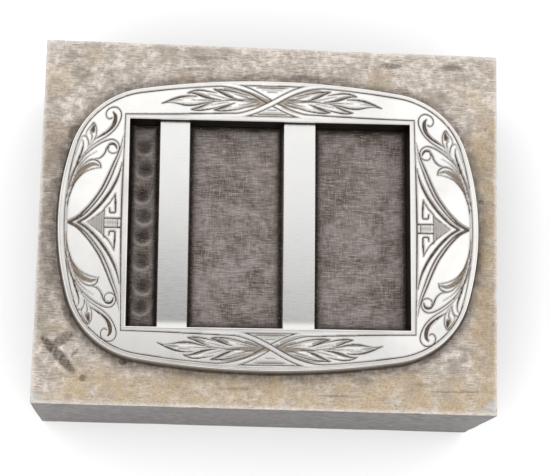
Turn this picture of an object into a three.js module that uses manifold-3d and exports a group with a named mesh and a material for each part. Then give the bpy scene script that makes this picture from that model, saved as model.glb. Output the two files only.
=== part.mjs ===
// Toolmaker's forming hub for a gentleman's belt buckle.
// A squared steel block carries the buckle frame in relief, face up. Inside the frame's window a
// pocket is sunk into the block, and two cross bars stand in it, which leaves three deep wells.
// Millimetres. +X along the buckle, +Y across it, +Z out of the engraved face.
// The origin is the centre of the block's underside.

import * as THREE from 'three';
import { mergeVertices } from 'three/addons/utils/BufferGeometryUtils.js';
import Module from 'manifold-3d';

const wasm = await Module();
wasm.setup();

// Block
const BLOCK_LENGTH = 79.4;
const BLOCK_WIDTH = 63.7;
const BLOCK_HEIGHT = 34.3;
const EDGE_CHAMFER = 0.35;

// Filed facets on the four corners of the work face: the corner's side in X and Y, and how far
// the facet reaches along X, along Y and down the corner edge.
const CORNER_FACETS = [
  { side: [1, 1], reach: [3.0, 2.0, 0.8] },
  { side: [1, -1], reach: [4.3, 3.9, 0.8] },
  { side: [-1, -1], reach: [4.0, 2.4, 0.8] },
  { side: [-1, 1], reach: [2.6, 2.4, 0.8] },
];

// Where the form sits on the block: its centre, and its turn about Z in degrees
const FORM_CENTRE = [-0.1, -0.22];
const FORM_TURN = 0.8;

// Buckle frame: its face outline is four pairs of tangent arcs
const FRAME_LENGTH = 72.2;
const FRAME_WIDTH = 50.6;
const FRAME_SIDE_RADIUS = 141;
const FRAME_END_RADIUS = 46;
const FRAME_CORNER_RADIUS = 14.6;
const FRAME_RELIEF = 2.14;
const FRAME_DRAFT = 7.4;

// Window and the pocket below it, measured at the frame's face
const WINDOW_LENGTH = 48.6;
const WINDOW_WIDTH = 36.2;
const WINDOW_CORNER_RADIUS = 0.35;
const WELL_DEPTH = 4.38;
const WELL_DRAFT = 4.5;

// Cross bars: the narrow well lies between the first bar and the window's -X edge
const BAR_DROP = 0.9;
const BAR_DRAFT = 4.5;
const BAR_RAMP = 1.4;
const BAR_RISE = 0.16;
const BAR_END_GAP = 0.3;
const NARROW_WELL_LENGTH = 5.3;
const MIDDLE_WELL_LENGTH = 16.4;
const END_BAR_LENGTH = 5.05;
const MIDDLE_BAR_LENGTH = 5.4;

// Worked out from the sizes above
const FACE_Z = BLOCK_HEIGHT + FRAME_RELIEF;
const FLOOR_Z = FACE_Z - WELL_DEPTH;
const WINDOW_HALF_LENGTH = WINDOW_LENGTH / 2;
const WINDOW_HALF_WIDTH = WINDOW_WIDTH / 2;

// How finely arcs are drawn, how close points are joined, and how far a cutter runs past a face
const OUTLINE_SEGMENTS = 24;
const RAMP_SEGMENTS = 6;
const JOIN_DISTANCE = 1e-5;
const CUT_MARGIN = 1;

const steel = (colour, roughness, metalness) =>
  new THREE.MeshStandardMaterial({ color: colour, roughness, metalness });

const tanOf = (degrees) => Math.tan(THREE.MathUtils.degToRad(degrees));

// A closed geometry as a solid, and back again.
function toSolid(geometry) {
  geometry.deleteAttribute('normal');
  geometry.deleteAttribute('uv');
  const merged = mergeVertices(geometry, JOIN_DISTANCE);
  return new wasm.Manifold(new wasm.Mesh({
    numProp: 3,
    vertProperties: new Float32Array(merged.attributes.position.array),
    triVerts: new Uint32Array(merged.index.array),
  }));
}

function toGeometry(solid) {
  const mesh = solid.getMesh();
  const geometry = new THREE.BufferGeometry();
  geometry.setAttribute('position', new THREE.BufferAttribute(mesh.vertProperties, 3));
  geometry.setIndex(new THREE.BufferAttribute(mesh.triVerts, 1));
  geometry.computeVertexNormals();
  return geometry;
}

// Puts a solid that is drawn about the form's own centre in its place on the block.
function placeOnBlock(geometry) {
  geometry.rotateZ(THREE.MathUtils.degToRad(FORM_TURN));
  geometry.translate(FORM_CENTRE[0], FORM_CENTRE[1], 0);
  return geometry;
}

// An outline drawn at the frame's face, as a solid from lowZ to highZ. It grows below the face by
// `draft` degrees of slope, or shrinks if the slope is negative.
function draftedSolid(outline, halfLength, halfWidth, lowZ, draft, highZ = FACE_Z + CUT_MARGIN) {
  const geometry = new THREE.ExtrudeGeometry(outline, {
    depth: highZ - lowZ,
    bevelEnabled: false,
    curveSegments: OUTLINE_SEGMENTS,
  });
  geometry.translate(0, 0, lowZ);
  const position = geometry.attributes.position;
  for (let i = 0; i < position.count; i += 1) {
    const grow = (FACE_Z - position.getZ(i)) * tanOf(draft);
    position.setX(i, position.getX(i) * (1 + grow / halfLength));
    position.setY(i, position.getY(i) * (1 + grow / halfWidth));
  }
  return toSolid(placeOnBlock(geometry));
}

// The buckle's outline: a flat arc along each side, a rounder one across each end, and a corner
// arc tangent to both.
function buckleOutline(halfLength, halfWidth) {
  const sideY = halfWidth - FRAME_SIDE_RADIUS;
  const endX = halfLength - FRAME_END_RADIUS;
  const toSide = FRAME_SIDE_RADIUS - FRAME_CORNER_RADIUS;
  const toEnd = FRAME_END_RADIUS - FRAME_CORNER_RADIUS;
  const apart = Math.hypot(endX, sideY);
  const along = (toSide ** 2 - toEnd ** 2 + apart ** 2) / (2 * apart);
  const off = Math.sqrt(Math.max(toSide ** 2 - along ** 2, 0));
  const cornerX = (along * endX - off * sideY) / apart;
  const cornerY = sideY - (along * sideY + off * endX) / apart;
  const endTurn = Math.atan2(cornerY, cornerX - endX);
  const sideTurn = Math.atan2(cornerY - sideY, cornerX);
  const outline = new THREE.Shape();
  const arc = (centreX, centreY, radius, from, to) =>
    outline.absarc(centreX, centreY, radius, from, to, false);
  const half = Math.PI;
  arc(endX, 0, FRAME_END_RADIUS, -endTurn, endTurn);
  arc(cornerX, cornerY, FRAME_CORNER_RADIUS, endTurn, sideTurn);
  arc(0, sideY, FRAME_SIDE_RADIUS, sideTurn, half - sideTurn);
  arc(-cornerX, cornerY, FRAME_CORNER_RADIUS, half - sideTurn, half - endTurn);
  arc(-endX, 0, FRAME_END_RADIUS, half - endTurn, half + endTurn);
  arc(-cornerX, -cornerY, FRAME_CORNER_RADIUS, half + endTurn, half + sideTurn);
  arc(0, -sideY, FRAME_SIDE_RADIUS, half + sideTurn, 2 * half - sideTurn);
  arc(cornerX, -cornerY, FRAME_CORNER_RADIUS, 2 * half - sideTurn, 2 * half - endTurn);
  return outline;
}

function roundedRectangle(halfLength, halfWidth, radius) {
  const outline = new THREE.Shape();
  outline.absarc(halfLength - radius, halfWidth - radius, radius, 0, Math.PI / 2, false);
  outline.absarc(radius - halfLength, halfWidth - radius, radius, Math.PI / 2, Math.PI, false);
  outline.absarc(radius - halfLength, radius - halfWidth, radius, Math.PI, Math.PI * 1.5, false);
  outline.absarc(halfLength - radius, radius - halfWidth, radius, Math.PI * 1.5, Math.PI * 2, false);
  return outline;
}

// The whole window and pocket as one drafted plug, which narrows towards the floor.
function windowPlug() {
  const outline = roundedRectangle(WINDOW_HALF_LENGTH, WINDOW_HALF_WIDTH, WINDOW_CORNER_RADIUS);
  return draftedSolid(outline, WINDOW_HALF_LENGTH, WINDOW_HALF_WIDTH, FLOOR_Z, -WELL_DRAFT);
}

// A large box whose one face is the plane that takes a top corner off the block.
function cornerCut({ side, reach }) {
  const size = BLOCK_LENGTH;
  const normal = new THREE.Vector3(side[0] / reach[0], side[1] / reach[1], 1 / reach[2]).normalize();
  const corner = new THREE.Vector3(
    side[0] * BLOCK_LENGTH / 2 - side[0] * reach[0],
    side[1] * BLOCK_WIDTH / 2,
    BLOCK_HEIGHT,
  );
  const geometry = new THREE.BoxGeometry(size, size, size);
  geometry.translate(0, 0, size / 2);
  const turn = new THREE.Quaternion().setFromUnitVectors(new THREE.Vector3(0, 0, 1), normal);
  geometry.applyQuaternion(turn);
  geometry.translate(corner.x, corner.y, corner.z);
  return toSolid(geometry);
}

function dieBlock() {
  const halfLength = BLOCK_LENGTH / 2 - EDGE_CHAMFER;
  const halfWidth = BLOCK_WIDTH / 2 - EDGE_CHAMFER;
  const outline = new THREE.Shape();
  outline.moveTo(-halfLength, -halfWidth);
  outline.lineTo(halfLength, -halfWidth);
  outline.lineTo(halfLength, halfWidth);
  outline.lineTo(-halfLength, halfWidth);
  outline.closePath();
  const geometry = new THREE.ExtrudeGeometry(outline, {
    depth: BLOCK_HEIGHT - 2 * EDGE_CHAMFER,
    bevelThickness: EDGE_CHAMFER,
    bevelSize: EDGE_CHAMFER,
    bevelSegments: 1,
  });
  geometry.translate(0, 0, EDGE_CHAMFER);
  let block = toSolid(geometry);
  for (const facet of CORNER_FACETS) {
    block = block.subtract(cornerCut(facet));
  }
  return toGeometry(block.subtract(windowPlug()));
}

function buckleFrame() {
  const halfLength = FRAME_LENGTH / 2;
  const halfWidth = FRAME_WIDTH / 2;
  const outline = buckleOutline(halfLength, halfWidth);
  const relief = draftedSolid(outline, halfLength, halfWidth, BLOCK_HEIGHT, FRAME_DRAFT, FACE_Z);
  return toGeometry(relief.subtract(windowPlug()));
}

// A cross bar that stands on the pocket's floor with its centre at barX. Its top lies below the
// frame's face and rises a little at its near end; its sides and ends are drafted.
function crossBar(barX, barLength) {
  const topZ = FACE_Z - BAR_DROP;
  const riseZ = topZ + BAR_RISE;
  const endAt = (z) => WINDOW_HALF_WIDTH - (FACE_Z - z) * tanOf(WELL_DRAFT) - BAR_END_GAP;
  const rampFoot = endAt(riseZ) - BAR_RAMP;
  const rampBend = endAt(riseZ) - BAR_RAMP / 3;
  const profile = new THREE.Shape();
  profile.moveTo(-endAt(FLOOR_Z), FLOOR_Z);
  profile.lineTo(endAt(FLOOR_Z), FLOOR_Z);
  profile.lineTo(endAt(topZ), topZ);
  profile.lineTo(-rampFoot, topZ);
  profile.quadraticCurveTo(-rampBend, topZ, -endAt(riseZ), riseZ);
  profile.closePath();
  const geometry = new THREE.ExtrudeGeometry(profile, {
    depth: barLength,
    bevelEnabled: false,
    curveSegments: RAMP_SEGMENTS,
  });
  geometry.translate(0, 0, -barLength / 2);
  geometry.rotateX(Math.PI / 2);
  geometry.rotateZ(Math.PI / 2);
  const position = geometry.attributes.position;
  for (let i = 0; i < position.count; i += 1) {
    const grow = (topZ - position.getZ(i)) * tanOf(BAR_DRAFT);
    position.setX(i, barX + position.getX(i) * (1 + (2 * grow) / barLength));
  }
  return toGeometry(toSolid(placeOnBlock(geometry)));
}

const hub = new THREE.Group();

function addPart(name, geometry, material) {
  const mesh = new THREE.Mesh(geometry, material);
  mesh.name = name;
  hub.add(mesh);
}

const endBarX = NARROW_WELL_LENGTH + END_BAR_LENGTH / 2 - WINDOW_HALF_LENGTH;
const middleBarX = endBarX + END_BAR_LENGTH / 2 + MIDDLE_WELL_LENGTH + MIDDLE_BAR_LENGTH / 2;

addPart('die_block', dieBlock(), steel(0xb3a894, 0.5, 0.9));
addPart('buckle_frame', buckleFrame(), steel(0xe8e6e1, 0.22, 1));
addPart('end_cross_bar', crossBar(endBarX, END_BAR_LENGTH), steel(0xcfcfcc, 0.35, 1));
addPart('middle_cross_bar', crossBar(middleBarX, MIDDLE_BAR_LENGTH), steel(0xcfcfcc, 0.35, 1));

export default hub;
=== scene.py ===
import math

import bpy
import numpy as np
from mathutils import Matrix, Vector


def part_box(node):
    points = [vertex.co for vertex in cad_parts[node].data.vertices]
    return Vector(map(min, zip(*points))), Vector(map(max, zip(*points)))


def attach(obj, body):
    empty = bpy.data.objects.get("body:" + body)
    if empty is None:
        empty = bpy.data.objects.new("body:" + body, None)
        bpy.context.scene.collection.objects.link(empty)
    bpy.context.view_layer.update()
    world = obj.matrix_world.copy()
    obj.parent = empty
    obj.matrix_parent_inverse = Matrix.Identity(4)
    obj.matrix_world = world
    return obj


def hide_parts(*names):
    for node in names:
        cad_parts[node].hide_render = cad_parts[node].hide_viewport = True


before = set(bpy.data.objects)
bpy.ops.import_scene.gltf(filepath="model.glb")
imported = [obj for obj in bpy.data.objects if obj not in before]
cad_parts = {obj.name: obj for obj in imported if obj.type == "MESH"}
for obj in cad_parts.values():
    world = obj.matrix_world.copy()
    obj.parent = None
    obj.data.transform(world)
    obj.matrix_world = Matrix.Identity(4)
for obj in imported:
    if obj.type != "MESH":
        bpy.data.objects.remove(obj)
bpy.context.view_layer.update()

# ------------------------------------------------------------------ sizes, in millimetres

MM = 0.001


def box_mm(node):
    """A CAD node's lowest and highest corner, in millimetres."""
    low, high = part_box(node)
    return np.array(low) / MM, np.array(high) / MM


block_low, block_high = box_mm("die_block")
BLOCK_HALF = (block_high - block_low)[:2] / 2
BASE_Z = block_low[2]
GROUND_Z = block_high[2]
FACE_Z = box_mm("buckle_frame")[1][2]
FLOOR_Z = box_mm("middle_cross_bar")[0][2]
EDGE_CHAMFER = 0.35

# The form: turned a little on the block, as in the CAD model
FORM_TURN = math.radians(0.8)
FORM_CENTRE = np.array([-0.1, -0.22])
FRAME_HALF = np.array([36.1, 25.3])
SIDE_RADIUS = 141.0
END_RADIUS = 46.0
CORNER_RADIUS = 14.6
FRAME_SLOPE = math.tan(math.radians(7.4))
WINDOW_HALF = np.array([24.3, 18.1])
WELL_SLOPE = math.tan(math.radians(4.5))

# Filed facets: the corner's side in X and Y, and the reach along X, along Y and down
CORNER_DROP = 0.8
CORNER_FACETS = [
    ((1, 1), (3.0, 2.0)),
    ((1, -1), (4.3, 3.9)),
    ((-1, -1), (4.0, 2.4)),
    ((-1, 1), (2.6, 2.4)),
]

# Cross bars, in the form's own frame: the top's low and high X
BARS = {
    "end_cross_bar": (-19.0, -13.95),
    "middle_cross_bar": (2.45, 7.85),
}
BAR_DROP = 0.9
BAR_RAMP = 1.4


def to_row(x, y):
    """Points of the form's own frame, in the row's frame."""
    c, s = math.cos(FORM_TURN), math.sin(FORM_TURN)
    return x * c - y * s + FORM_CENTRE[0], x * s + y * c + FORM_CENTRE[1]


def to_form(x, y):
    """Points of the row's frame, in the form's own frame."""
    c, s = math.cos(FORM_TURN), math.sin(FORM_TURN)
    x, y = x - FORM_CENTRE[0], y - FORM_CENTRE[1]
    return x * c + y * s, -x * s + y * c


def smooth(low, high, value):
    t = np.clip((value - low) / (high - low), 0, 1)
    return t * t * (3 - 2 * t)


def ripple(x, y, length, seed, waves=9):
    """Smooth seeded unevenness from -1 to 1, about `length` millimetres from crest to crest."""
    rng = np.random.default_rng(seed)
    total = np.zeros_like(x, dtype=float)
    for _ in range(waves):
        angle, phase = rng.uniform(0, 2 * math.pi, 2)
        pitch = 2 * math.pi / (length * rng.uniform(0.6, 1.7))
        total += np.sin(pitch * (x * math.cos(angle) + y * math.sin(angle)) + phase)
    return total / math.sqrt(waves) / 1.5


# ------------------------------------------------------------------ the buckle's outline


def corner_centre():
    side_y = FRAME_HALF[1] - SIDE_RADIUS
    end_x = FRAME_HALF[0] - END_RADIUS
    to_side = SIDE_RADIUS - CORNER_RADIUS
    to_end = END_RADIUS - CORNER_RADIUS
    apart = math.hypot(end_x, side_y)
    along = (to_side**2 - to_end**2 + apart**2) / (2 * apart)
    off = math.sqrt(to_side**2 - along**2)
    return (
        (along * end_x - off * side_y) / apart,
        side_y - (along * side_y + off * end_x) / apart,
    )


def outline_depth(x, y):
    """How far inside the outline of the frame's face each point of the form's frame lies."""
    x, y = np.abs(x), np.abs(y)
    side_y = FRAME_HALF[1] - SIDE_RADIUS
    end_x = FRAME_HALF[0] - END_RADIUS
    corner_x, corner_y = corner_centre()
    in_side = np.arctan2(x, y - side_y) < math.atan2(corner_x, corner_y - side_y)
    in_end = np.arctan2(y, x - end_x) < math.atan2(corner_y, corner_x - end_x)
    to_side = SIDE_RADIUS - np.hypot(x, y - side_y)
    to_end = END_RADIUS - np.hypot(x - end_x, y)
    to_corner = CORNER_RADIUS - np.hypot(x - corner_x, y - corner_y)
    return np.where(in_side, to_side, np.where(in_end, to_end, to_corner))


def outward(x, y, step=0.01):
    """The unit direction out of the outline at each point."""
    gx = outline_depth(x - step, y) - outline_depth(x + step, y)
    gy = outline_depth(x, y - step) - outline_depth(x, y + step)
    size = np.hypot(gx, gy)
    return gx / size, gy / size


def meet_outline(start, end, depth=0.0):
    """Where each line from start to end crosses the level `depth` inside the outline."""
    low, high = np.zeros(len(start)), np.ones(len(start))
    for _ in range(40):
        middle = (low + high) / 2
        at = start + middle[:, None] * (end - start)
        inside = outline_depth(at[:, 0], at[:, 1]) > depth
        low, high = np.where(inside, middle, low), np.where(inside, high, middle)
    return low


def rectangle_ring(half, side_count, top_count):
    """Points round a rectangle, anticlockwise from its lower right corner."""
    up = np.linspace(-half[1], half[1], side_count + 1)[:-1]
    left = np.linspace(half[0], -half[0], top_count + 1)[:-1]
    right = np.full_like(up, half[0])
    top = np.full_like(left, half[1])
    x = np.concatenate([right, left, -right, -left])
    y = np.concatenate([up, top, -up, -top])
    return np.stack([x, y], 1)


# ------------------------------------------------------------------ the engraving
#
# The ornament is drawn once, for the upper left quarter, in the form's own frame. A cut is a
# line through a few points with a width at its start, at its middle and at its end.

SAMPLE = 0.06
FAR = 9.0
END_AXIS_Y = -0.38
BAND_AXIS_X = 0.25
BORDER_WIDTH = 0.26
BORDER_HEIGHTS = (0.0, 8.0, 17.0, 23.0, 25.0)
BORDER_INSETS = (1.02, 0.95, 0.68, 0.78, 0.82)
BORDER_GAP = 8.3
KEY_LIFT = 0.3
KEY_TIP = 31.3
KEY_SLOPE = 0.74
HATCH_PITCH = 0.42


def line_through(points, curved=True):
    """Evenly spaced points on a smooth curve, or on straight lines, through `points`."""
    p = np.array(points, float)
    if curved and len(p) > 2:
        ends = [2 * p[0] - p[1], 2 * p[-1] - p[-2]]
        q = np.vstack([ends[0], p, ends[1]])
        t = np.linspace(0, 1, 24, endpoint=False)[:, None]
        parts = []
        for a, b, c, d in zip(q, q[1:], q[2:], q[3:]):
            parts.append(
                0.5
                * (
                    2 * b
                    + (c - a) * t
                    + (2 * a - 5 * b + 4 * c - d) * t**2
                    + (3 * b - a - 3 * c + d) * t**3
                )
            )
        p = np.vstack([*parts, p[-1:]])
    run = np.concatenate([[0], np.cumsum(np.hypot(*np.diff(p, axis=0).T))])
    at = np.linspace(0, run[-1], max(2, int(run[-1] / SAMPLE) + 1))
    return np.stack([np.interp(at, run, p[:, 0]), np.interp(at, run, p[:, 1])], 1)


class Engraving:
    """How far each point lies outside the nearest cut: below zero inside a cut."""

    def __init__(self, x, y):
        self.x, self.y = x, y
        self.outside = np.full(x.shape, FAR)

    def reach(self, points, widths=(0.0,), curved=True):
        """Distance to a line of changing width, and the points near enough to matter."""
        line = line_through(points, curved)
        share = np.linspace(0, 1, len(line))
        half = np.interp(share, np.linspace(0, 1, len(widths)), widths) / 2
        margin = 1.2 + half.max()
        low, high = line.min(0) - margin, line.max(0) + margin
        near = np.flatnonzero(
            (self.x > low[0]) & (self.x < high[0]) & (self.y > low[1]) & (self.y < high[1])
        )
        found = np.full(len(near), FAR)
        for start in range(0, len(line), 8):
            gap = np.hypot(
                self.x[near, None] - line[None, start : start + 8, 0],
                self.y[near, None] - line[None, start : start + 8, 1],
            )
            found = np.minimum(found, (gap - half[start : start + 8]).min(1))
        return near, found

    def cut(self, points, widths, curved=True):
        near, found = self.reach(points, widths, curved)
        self.outside[near] = np.minimum(self.outside[near], found)

    def leave(self, points, widths, curved=True):
        near, found = self.reach(points, widths, curved)
        self.outside[near] = np.maximum(self.outside[near], -found)


# End panel, with Y measured from the panel's axis
END_CUTS = {
    # the wide double groove that rises from the panel's tip, and the groove inside it
    "wide_groove_outer": (
        [(-34.4, 0.05), (-32.95, 0.85), (-31.6, 2.15), (-30.3, 3.75), (-29.0, 5.75),
         (-27.9, 8.1), (-27.05, 10.2), (-26.3, 12.0), (-25.75, 13.6), (-25.4, 15.2)],
        (0.5, 0.42, 0.42, 0.36, 0.14)),
    "wide_groove_inner": (
        [(-33.9, 0.05), (-32.3, 0.95), (-31.05, 2.1), (-29.75, 3.65), (-28.5, 5.5),
         (-27.4, 7.8), (-26.65, 9.8), (-26.0, 11.6), (-25.5, 13.4)],
        (0.4, 0.36, 0.36, 0.32, 0.12)),
    "second_groove": (
        [(-32.75, 0.0), (-31.5, 0.75), (-30.35, 1.75), (-29.0, 3.2), (-27.5, 5.3),
         (-26.45, 7.3), (-25.85, 9.0), (-25.5, 10.6)],
        (0.5, 0.58, 0.58, 0.5, 0.2)),
    "key_edge": (
        [(-31.3, 0.0), (-29.9, 0.95), (-28.75, 1.85), (-28.2, 2.6)],
        (0.1, 0.2, 0.24)),
    # the lens between the wide groove and the spray: its left and upper boundary
    "lens_edge": (
        [(-34.68, 0.3), (-34.66, 2.2), (-34.5, 3.8), (-34.15, 5.2), (-33.65, 6.6),
         (-32.9, 7.7), (-32.0, 8.6), (-31.0, 9.15), (-30.0, 9.45), (-29.15, 9.6)],
        (0.14, 0.3, 0.34, 0.24, 0.16)),
    "lobed_leaf_edge": (
        [(-34.72, 3.2), (-34.35, 5.4), (-33.75, 7.3), (-33.0, 8.8), (-32.2, 9.9),
         (-31.4, 10.65), (-30.5, 10.98), (-29.75, 10.8), (-29.25, 10.3), (-29.1, 9.6)],
        (0.12, 0.18, 0.22, 0.26, 0.3)),
    "lobed_leaf_vein": (
        [(-34.2, 6.4), (-33.4, 8.0), (-32.4, 9.3), (-31.6, 9.95)],
        (0.1, 0.14, 0.1)),
    # stems of the two volutes
    "lower_volute": (
        [(-34.75, 4.2), (-34.3, 6.5), (-33.6, 8.9), (-32.9, 10.3), (-32.0, 11.6),
         (-31.0, 12.6), (-30.0, 13.4), (-28.9, 14.1), (-28.0, 14.5), (-27.2, 14.62),
         (-26.55, 14.35), (-26.12, 13.75), (-26.05, 13.05), (-26.4, 12.4), (-27.0, 12.15),
         (-27.6, 12.3), (-27.92, 12.8), (-27.8, 13.35)],
        (0.12, 0.2, 0.24, 0.26, 0.26, 0.24, 0.22)),
    "lower_volute_eye": (
        [(-28.0, 13.35), (-27.65, 13.75), (-27.1, 13.85), (-26.65, 13.55), (-26.42, 12.95)],
        (0.2, 0.44, 0.5, 0.42, 0.22)),
    "lower_volute_lobe": (
        [(-27.95, 13.5), (-28.25, 12.9), (-28.45, 12.3), (-28.85, 11.7), (-29.4, 11.25),
         (-30.05, 11.12)],
        (0.3, 0.34, 0.3, 0.16)),
    "lower_volute_vein": (
        [(-33.9, 7.4), (-33.0, 9.3), (-32.2, 10.6), (-31.2, 11.6), (-29.9, 12.45)],
        (0.08, 0.14, 0.16, 0.1)),
    "lower_volute_vein_two": (
        [(-33.3, 8.9), (-32.4, 10.4), (-31.6, 11.2)],
        (0.08, 0.12, 0.08)),
    "upper_volute": (
        [(-34.0, 8.2), (-32.9, 10.8), (-31.6, 12.55), (-30.4, 13.7), (-29.3, 14.45),
         (-28.3, 15.1), (-27.4, 15.85), (-26.6, 16.8), (-26.05, 17.9), (-25.8, 18.9),
         (-25.95, 19.7), (-26.45, 20.25), (-27.15, 20.38), (-27.85, 20.12), (-28.35, 19.55),
         (-28.42, 18.9), (-28.15, 18.4), (-27.75, 18.25), (-27.4, 18.45)],
        (0.1, 0.14, 0.2, 0.26, 0.26, 0.24, 0.24)),
    "upper_volute_body": (
        [(-27.2, 19.45), (-26.88, 19.0), (-26.82, 18.3), (-27.0, 17.5), (-27.45, 16.75),
         (-28.1, 16.1), (-28.85, 15.5), (-29.7, 14.95), (-30.45, 14.45)],
        (0.3, 0.66, 0.74, 0.72, 0.62, 0.54, 0.42, 0.26, 0.12)),
    # the bud between the volutes and the border
    "bud": (
        [(-30.95, 13.6), (-30.4, 14.4), (-30.1, 15.1), (-29.98, 15.9), (-30.05, 16.7),
         (-30.5, 17.5), (-30.95, 17.0), (-31.4, 16.4), (-31.72, 15.8), (-31.72, 15.2),
         (-31.45, 14.7)],
        (0.12, 0.22, 0.24, 0.26, 0.2, 0.14)),
    "bud_shade": (
        [(-30.5, 17.2), (-30.55, 16.7), (-30.6, 16.2)],
        (0.2, 0.5, 0.55)),
    "bud_heart": (
        [(-31.15, 15.62), (-30.85, 15.5), (-30.75, 15.0), (-30.85, 14.4), (-31.1, 13.8)],
        (0.12, 0.26, 0.24, 0.2, 0.1)),
    "bud_root": (
        [(-31.35, 14.2), (-31.2, 13.6), (-31.25, 13.1)],
        (0.16, 0.2, 0.12)),
    # the outer leaf beside the border
    "outer_leaf_hook": (
        [(-32.55, 14.9), (-32.2, 15.12), (-31.75, 15.0), (-31.42, 14.45), (-31.32, 13.8),
         (-31.45, 13.2)],
        (0.14, 0.22, 0.26, 0.22, 0.1)),
    "outer_leaf_body": (
        [(-32.6, 14.65), (-32.28, 14.2), (-32.22, 13.4), (-32.45, 12.4), (-32.85, 11.3),
         (-33.3, 10.0), (-33.7, 8.8), (-34.1, 7.5), (-34.5, 5.9), (-34.8, 4.2)],
        (0.12, 0.36, 0.46, 0.34, 0.24, 0.18, 0.12)),
    "outer_leaf_edge": (
        [(-32.7, 14.5), (-33.05, 13.2), (-33.55, 11.7), (-34.0, 10.1), (-34.45, 8.0),
         (-34.75, 6.0)],
        (0.1, 0.12, 0.14, 0.1)),
}

KEY_CUTS = {
    "key_hook": (
        [(-26.5, 5.0), (-26.45, 3.4), (-26.42, 1.95), (-26.55, 1.78), (-27.25, 1.74),
         (-27.42, 1.9), (-27.44, 2.45)],
        (0.2, 0.4, 0.4, 0.36, 0.32)),
    "key_slope": (
        [(-28.2, 2.6), (-27.45, 3.45), (-26.85, 4.4), (-26.5, 5.1)],
        (0.3, 0.26, 0.26)),
}

CELL_CUTS = {
    "key_post": ([(-28.3, 2.5), (-28.32, 0.0)], (0.3, 0.26)),
    "key_bar": ([(-28.3, 0.78), (-25.4, 0.78)], (0.34, 0.36)),
    "key_cell": ([(-26.05, 0.6), (-26.05, 0.0)], (0.24, 0.24)),
}

# Leaf spray of the top band, left half, with X measured from the band's axis
BAND_CUTS = {
    "tip_leaf_upper": (
        [(-19.1, 20.92), (-18.3, 21.25), (-17.3, 21.68), (-16.3, 22.02), (-15.3, 22.24),
         (-14.2, 22.32), (-13.1, 22.28)],
        (0.16, 0.34, 0.42, 0.3, 0.2)),
    "tip_leaf_lower": (
        [(-19.1, 20.9), (-18.0, 21.1), (-17.0, 21.02), (-16.1, 20.88), (-15.2, 20.7),
         (-14.2, 20.68), (-13.2, 20.78), (-12.2, 21.02), (-11.0, 21.28), (-9.5, 21.5)],
        (0.22, 0.16, 0.34, 0.34, 0.24, 0.14)),
    "tip_leaf_vein": (
        [(-14.0, 21.62), (-12.6, 21.6), (-11.2, 21.62), (-9.6, 21.5), (-8.0, 21.68),
         (-6.4, 21.82), (-5.2, 21.72)],
        (0.1, 0.16, 0.18, 0.2, 0.24)),
    "outer_leaf_upper": (
        [(-14.75, 22.85), (-14.1, 23.15), (-13.2, 23.36), (-12.2, 23.38), (-11.2, 23.24),
         (-10.3, 23.08), (-9.6, 22.95)],
        (0.2, 0.3, 0.32, 0.24, 0.12)),
    "outer_leaf_lower": (
        [(-14.7, 22.82), (-13.9, 22.86), (-13.1, 22.66), (-12.3, 22.4), (-11.3, 22.1),
         (-10.2, 21.9), (-9.0, 21.75)],
        (0.18, 0.3, 0.44, 0.36, 0.16)),
    "outer_leaf_vein": (
        [(-11.2, 22.78), (-10.2, 22.58), (-9.2, 22.32), (-8.2, 22.08), (-7.2, 21.92)],
        (0.08, 0.14, 0.14, 0.1)),
    "inner_leaf_upper": (
        [(-10.15, 23.62), (-9.2, 23.58), (-8.2, 23.52), (-7.2, 23.38), (-6.2, 23.2),
         (-5.3, 22.95), (-4.4, 22.72), (-3.4, 22.4)],
        (0.26, 0.34, 0.26, 0.2, 0.12)),
    "inner_leaf_lower": (
        [(-9.9, 23.45), (-9.1, 23.15), (-8.4, 22.82), (-7.7, 22.48), (-7.0, 22.22),
         (-6.2, 22.02)],
        (0.2, 0.38, 0.42, 0.36, 0.14)),
    "inner_leaf_vein": (
        [(-6.5, 22.82), (-5.5, 22.56), (-4.5, 22.26), (-3.5, 21.98), (-2.6, 21.84)],
        (0.1, 0.18, 0.2, 0.12)),
    "outer_leaflet_upper": (
        [(-14.05, 19.95), (-13.4, 20.14), (-12.7, 20.36), (-12.0, 20.66), (-11.3, 20.94),
         (-10.4, 21.16)],
        (0.2, 0.3, 0.34, 0.26, 0.12)),
    "outer_leaflet_lower": (
        [(-14.0, 19.9), (-13.1, 19.8), (-12.1, 19.86), (-11.1, 20.02), (-10.1, 20.24),
         (-9.1, 20.52), (-8.1, 20.86)],
        (0.22, 0.34, 0.28, 0.18, 0.1)),
    "outer_leaflet_vein": (
        [(-10.8, 20.74), (-9.7, 20.96), (-8.7, 21.18), (-7.6, 21.4)],
        (0.08, 0.14, 0.1)),
    "inner_leaflet_upper": (
        [(-10.1, 19.95), (-9.4, 20.16), (-8.7, 20.42), (-8.0, 20.7), (-7.3, 20.98),
         (-6.4, 21.26)],
        (0.2, 0.34, 0.4, 0.32, 0.12)),
    "inner_leaflet_lower": (
        [(-10.1, 19.92), (-9.1, 19.8), (-8.1, 19.84), (-7.1, 19.96), (-6.1, 20.12),
         (-5.1, 20.38), (-4.1, 20.68), (-3.0, 21.0), (-2.2, 21.24)],
        (0.24, 0.32, 0.24, 0.22, 0.2)),
    "inner_leaflet_vein": (
        [(-5.7, 20.88), (-4.7, 21.02), (-3.7, 21.26), (-2.7, 21.5)],
        (0.1, 0.18, 0.14)),
}

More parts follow.
